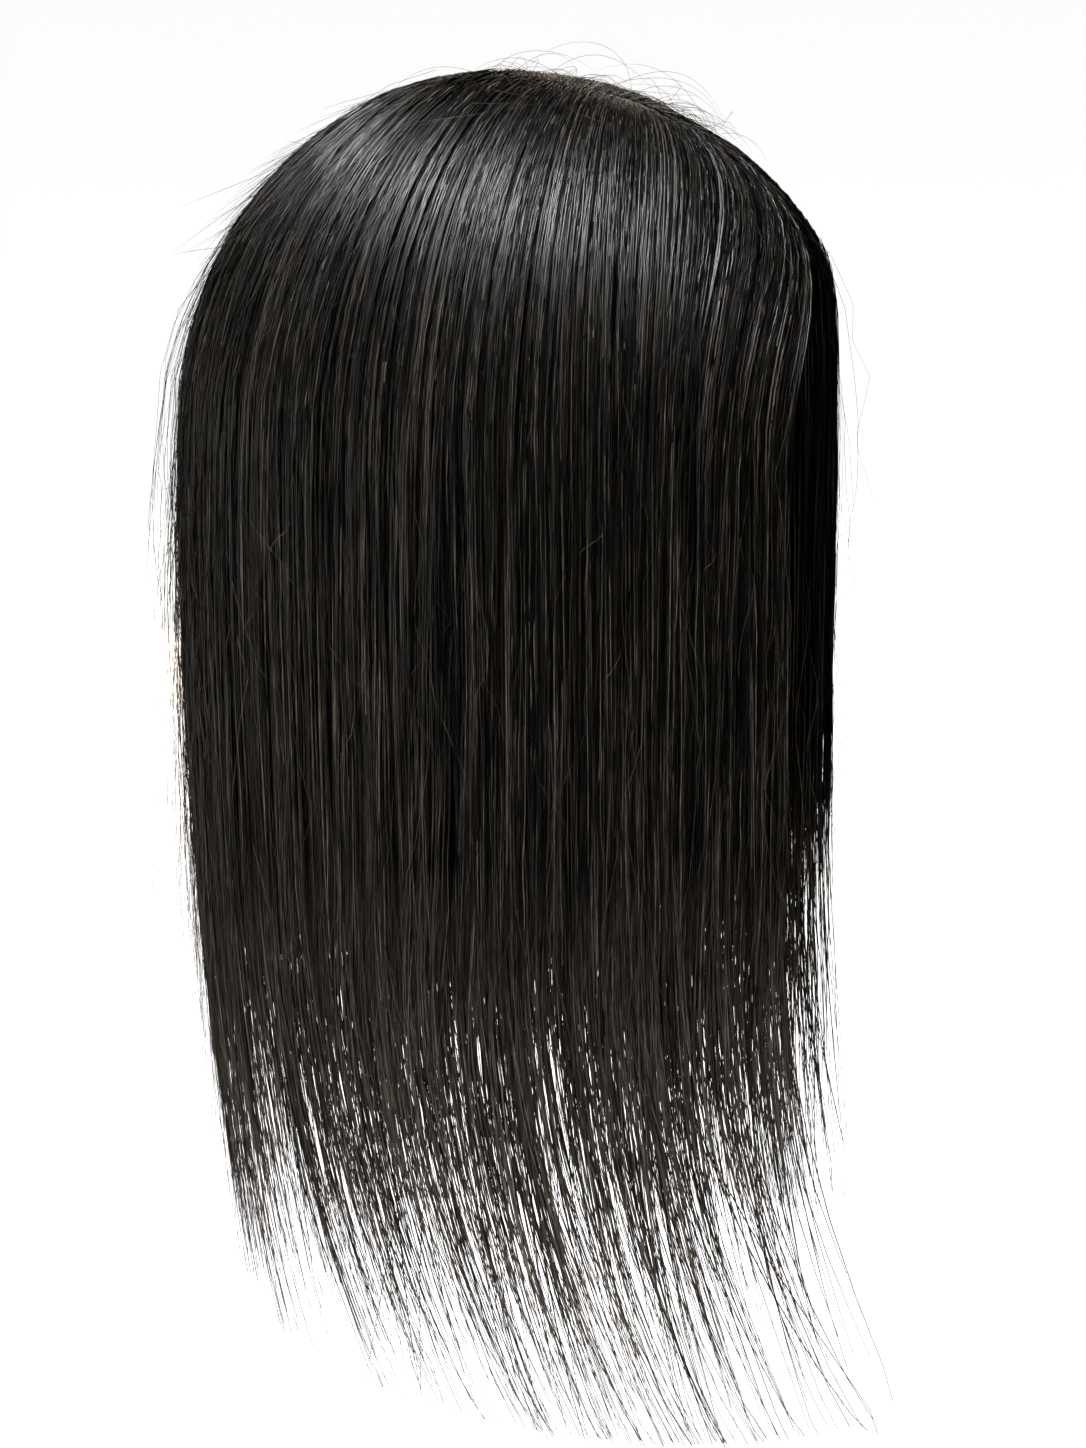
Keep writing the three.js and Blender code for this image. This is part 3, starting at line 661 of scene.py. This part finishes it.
def woven_material(name, light, dark, pitch_mm, rough=0.7, sheen=0.0):
    """A plain weave: two crossing sets of yarns."""
    m, nodes, links, bsdf = new_material(name)
    at = nodes.new("ShaderNodeTexCoord")
    waves = []
    for direction in ("X", "Y"):
        w = nodes.new("ShaderNodeTexWave"); w.wave_type = "BANDS"; w.bands_direction = direction
        w.inputs["Scale"].default_value = 1000.0 / pitch_mm / 6.5
        w.inputs["Distortion"].default_value = 0.4
        links.new(at.outputs["Object"], w.inputs["Vector"])
        waves.append(w)
    cross = nodes.new("ShaderNodeMath"); cross.operation = "MULTIPLY"
    links.new(waves[0].outputs["Fac"], cross.inputs[0]); links.new(waves[1].outputs["Fac"], cross.inputs[1])
    # painted shade: the colour is darker where the yarns dip, following the same height as the bump
    ramp = nodes.new("ShaderNodeValToRGB")
    e = ramp.color_ramp.elements
    e[0].position, e[0].color = 0.0, dark
    e[1].position, e[1].color = 0.7, light
    links.new(cross.outputs["Value"], ramp.inputs["Fac"])
    links.new(ramp.outputs["Color"], bsdf.inputs["Base Color"])
    bump = nodes.new("ShaderNodeBump")
    bump.inputs["Strength"].default_value = 0.5; bump.inputs["Distance"].default_value = 0.00012
    links.new(cross.outputs["Value"], bump.inputs["Height"]); links.new(bump.outputs["Normal"], bsdf.inputs["Normal"])
    bsdf.inputs["Roughness"].default_value = rough
    bsdf.inputs["Sheen Weight"].default_value = sheen
    return m


NET = net_material()
SILK = woven_material("crown_silk", (0.46, 0.31, 0.215, 1), (0.33, 0.215, 0.145, 1), 0.55, 0.55, 0.25)
TAPE = woven_material("edge_tape", (0.030, 0.022, 0.018, 1), (0.010, 0.008, 0.007, 1), 0.6, 0.75, 0.3)
THREAD = woven_material("thread", (0.045, 0.034, 0.028, 1), (0.018, 0.013, 0.011, 1), 0.3, 0.6)

AROUND = 128
turns = np.arange(AROUND) / AROUND * 2 * np.pi
shares_in = np.concatenate([np.linspace(0.02, CROWN_SHARE, 10), np.linspace(CROWN_SHARE + 0.02, HEM_SHARE, 12)])
profile = [(sh, 0.05) for sh in shares_in] + [(sh, 1.45) for sh in shares_in[::-1]]
rows = np.array([on_base(sh, turns, lift) for sh, lift in profile])
verts = rows.reshape(-1, 3)
faces = ring_faces(0, len(profile), AROUND)
cap_in, cap_out = len(verts), len(verts) + 1
verts = np.concatenate([verts, on_base(0.0, 0.0, 0.05)[None], on_base(0.0, 0.0, 1.45)[None]])
last = (len(profile) - 1) * AROUND
fans = [(cap_in, (i + 1) % AROUND, i) for i in range(AROUND)] + [(cap_out, last + i, last + (i + 1) % AROUND) for i in range(AROUND)]
base_piece = mesh_object("base_net", verts, [tuple(f) for f in faces] + fans, NET)
base_piece.data.materials.append(SILK)
slots = np.zeros(len(base_piece.data.polygons), np.int32)
grid_rows = np.repeat(np.arange(len(profile) - 1), AROUND)
crown_rows = (grid_rows < 9) | (grid_rows >= len(profile) - 1 - 9)
slots[:len(grid_rows)] = crown_rows
slots[len(grid_rows):] = 1
base_piece.data.polygons.foreach_set("material_index", slots)
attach(base_piece, "root")
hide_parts("base_cap")

hem_profile = [(0.893, 0.0), (0.897, -0.22), (0.915, -0.34), (0.95, -0.38), (0.985, -0.34), (1.0, -0.12), (1.006, 0.75),
               (1.0, 1.62), (0.985, 1.82), (0.95, 1.86), (0.915, 1.80), (0.897, 1.66), (0.893, 1.4)]
rows = np.array([on_base(sh, turns, lift) for sh, lift in hem_profile])
hem = mesh_object("base_edge_tape", rows.reshape(-1, 3), ring_faces(0, len(hem_profile), AROUND, True), TAPE)
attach(hem, "root")


def bands(name, shares, half_width, height, lift, material, wobble=0.0):
    """Raised sewn tracks that run round the base on its inside."""
    verts, faces = [], []
    ring = [(-1, 0.0), (-0.8, -0.7), (0.0, -1.0), (0.8, -0.7), (1, 0.0), (0.0, 0.5)]
    for share in shares:
        start = len(verts) * AROUND
        wave = wobble * np.sin(turns * 90)
        for across, up_ in ring:
            verts.append(on_base(share + (across * half_width + wave) / 62.0, turns, lift + up_ * height))
        faces.append(ring_faces(start, len(ring), AROUND, True))
    obj = mesh_object(name, np.array(verts).reshape(-1, 3), np.concatenate(faces), material)
    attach(obj, "root")
    return obj


bands("base_tracks", [0.55, 0.63, 0.71, 0.79, 0.86], 1.15, 0.28, 0.02, TAPE, wobble=0.12)
bands("crown_seam", [CROWN_SHARE + 0.005], 0.9, 0.2, 0.02, THREAD, wobble=0.35)


def stitches(name, spots, material, radius=0.16):
    """Short sewn threads, each a small rounded bar between two points."""
    verts, faces = [], []
    for p0, p1, bow in spots:
        run = p1 - p0
        run = run / (np.linalg.norm(run) + 1e-9)
        e1 = bow / (np.linalg.norm(bow) + 1e-9)
        e2 = np.cross(run, e1)
        start = len(verts)
        for f, r, lift in ((0.0, 0.5, 0.0), (0.2, 1.0, 0.75), (0.8, 1.0, 0.75), (1.0, 0.5, 0.0)):
            c = p0 + (p1 - p0) * f + bow * lift
            for q in range(5):
                ang = 2 * math.pi * q / 5
                verts.append(c + (e1 * math.cos(ang) + e2 * math.sin(ang)) * radius * r)
        for row in range(3):
            for q in range(5):
                a_, b_ = start + row * 5 + q, start + row * 5 + (q + 1) % 5
                faces.append((a_, b_, b_ + 5, a_ + 5))
        faces.append(tuple(start + q for q in range(4, -1, -1)))
        faces.append(tuple(start + 15 + q for q in range(5)))
    obj = mesh_object(name, verts, faces, material)
    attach(obj, "root")
    return obj


spots = []
for share in (0.912, 0.988):
    for i in range(132):
        t0, t1 = (i + 0.12) / 132 * 2 * np.pi, (i + 0.78) / 132 * 2 * np.pi
        p0, p1 = on_base(share, t0, -0.36), on_base(share, t1, -0.36)
        down = on_base(share, t0, -1.0) - on_base(share, t0, 0.0)
        spots.append((p0, p1, down * 0.12))
stitches("edge_stitches", spots, THREAD)

# ---------------------------------------------------------------------------
# The snap clips: the CAD's combs, in worn dark enamel, each sewn on through its bar
# ---------------------------------------------------------------------------
def enamel_material():
    m, nodes, links, bsdf = new_material("clip_enamel")
    at = nodes.new("ShaderNodeTexCoord")
    noise = nodes.new("ShaderNodeTexNoise"); noise.inputs["Scale"].default_value = 260.0; noise.inputs["Detail"].default_value = 4.0
    links.new(at.outputs["Object"], noise.inputs["Vector"])
    ramp = nodes.new("ShaderNodeValToRGB")
    e = ramp.color_ramp.elements
    e[0].position, e[0].color = 0.35, (0.012, 0.009, 0.008, 1)
    e[1].position, e[1].color = 0.72, (0.032, 0.024, 0.020, 1)
    links.new(noise.outputs["Fac"], ramp.inputs["Fac"]); links.new(ramp.outputs["Color"], bsdf.inputs["Base Color"])
    rough = nodes.new("ShaderNodeMapRange")
    rough.inputs["To Min"].default_value, rough.inputs["To Max"].default_value = 0.26, 0.44
    links.new(noise.outputs["Fac"], rough.inputs["Value"]); links.new(rough.outputs["Result"], bsdf.inputs["Roughness"])
    bsdf.inputs["Coat Weight"].default_value = 0.3
    bump = nodes.new("ShaderNodeBump"); bump.inputs["Strength"].default_value = 0.12; bump.inputs["Distance"].default_value = 0.0001
    links.new(noise.outputs["Fac"], bump.inputs["Height"]); links.new(bump.outputs["Normal"], bsdf.inputs["Normal"])
    return m


ENAMEL = enamel_material()
CLIPS = (("clip_front", 0, -50, 0), ("clip_back", 0, 46, 180), ("clip_right", -44, -2, -90), ("clip_left", 44, -2, 90))
spots = []
for name, cx, cy, turn in CLIPS:
    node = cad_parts[name]
    for slot_ in node.material_slots:
        slot_.material = ENAMEL
    c, s_ = math.cos(math.radians(turn)), math.sin(math.radians(turn))
    for x in (-13.2, -11.6, -0.8, 0.8, 11.6, 13.2):
        half = 3.6 * math.sqrt(max(0.0, 1 - (x / 16) ** 4)) + 1.0
        ends = []
        for y in (2.2, 3.4 + half):
            ends.append(on_head(np.float64(cx + x * c - y * s_), np.float64(cy + x * s_ + y * c), np.float64(-0.15)))
        mid = (ends[0] + ends[1]) / 2
        n = mid - np.array([0, 0, WIDEST_Z])
        n = -n / np.linalg.norm(n)
        spots.append((ends[0], ends[1], n * 1.75))
stitches("clip_threads", spots, THREAD, radius=0.2)

# ---------------------------------------------------------------------------
# Stage, light and camera
# ---------------------------------------------------------------------------
AZ, EL, DIST = math.radians(-70), math.radians(12), 1.2
back = np.array([math.sin(AZ) * math.cos(EL), -math.cos(AZ) * math.cos(EL), math.sin(EL)])
right = np.array([math.cos(AZ), math.sin(AZ), 0.0])
target = np.array([0, 0, -0.1876]) + right * 0.001
camera = bpy.data.objects.new("camera", bpy.data.cameras.new("camera"))
bpy.context.scene.collection.objects.link(camera)
camera.location = target + back * DIST
up = np.cross(back, right)
from mathutils import Matrix
camera.matrix_world = Matrix([[right[i], up[i], back[i], camera.location[i]] for i in range(3)] + [[0, 0, 0, 1]])
camera.data.sensor_fit = "VERTICAL"
camera.data.sensor_height = 36.0
camera.data.lens = 36.0 * DIST / (1448 * 0.30 * MM)
camera.data.clip_end = 50
bpy.context.scene.camera = camera


def area_light(name, azimuth, elevation, distance, size, power, colour, aim=(0, 0, -0.12)):
    light = bpy.data.lights.new(name, "AREA")
    light.shape = "RECTANGLE"
    light.size, light.size_y = size
    light.energy, light.color = power, colour
    obj = bpy.data.objects.new(name, light)
    bpy.context.scene.collection.objects.link(obj)
    a, e = math.radians(azimuth), math.radians(elevation)
    d = np.array([math.sin(a) * math.cos(e), -math.cos(a) * math.cos(e), math.sin(e)])
    obj.location = np.array(aim) + d * distance
    r = np.array([math.cos(a), math.sin(a), 0.0])
    u_ = np.cross(d, r)
    obj.matrix_world = Matrix([[r[i], u_[i], d[i], obj.location[i]] for i in range(3)] + [[0, 0, 0, 1]])
    obj.visible_camera = False
    return obj


area_light("overhead", -137, 65, 1.6, (1.3, 0.32), 46, (0.92, 0.95, 1.0))
area_light("low_near", -158, -6, 2.0, (0.25, 0.9), 6.0, (1.0, 0.97, 0.90))
area_light("low_front", -20, -8, 2.0, (0.3, 0.9), 0.8, (1.0, 0.98, 0.95))
area_light("behind", 112, 16, 2.2, (1.6, 0.8), 9, (1.0, 0.86, 0.73))
area_light("behind_low", 120, -4, 1.7, (0.9, 0.5), 5, (1.0, 0.74, 0.56))

floor_m, nodes, links, bsdf = new_material("stage_white")
bsdf.inputs["Base Color"].default_value = (0.95, 0.95, 0.948, 1)
bsdf.inputs["Roughness"].default_value = 0.9
bsdf.inputs["Specular IOR Level"].default_value = 0.1
floor_z = -0.47
bpy.ops.mesh.primitive_plane_add(size=40, location=(0, 0, floor_z))
floor = bpy.context.object
floor.name = "stage_floor"
floor.data.materials.append(floor_m)
floor.visible_glossy = False

world = bpy.data.worlds.new("studio")
world.use_nodes = True
world.node_tree.nodes["Background"].inputs["Color"].default_value = (1.0, 1.0, 0.995, 1)
world.node_tree.nodes["Background"].inputs["Strength"].default_value = 1.08
bpy.context.scene.world = world
world.cycles_visibility.glossy = False
bpy.context.scene.view_settings.view_transform = "Standard"
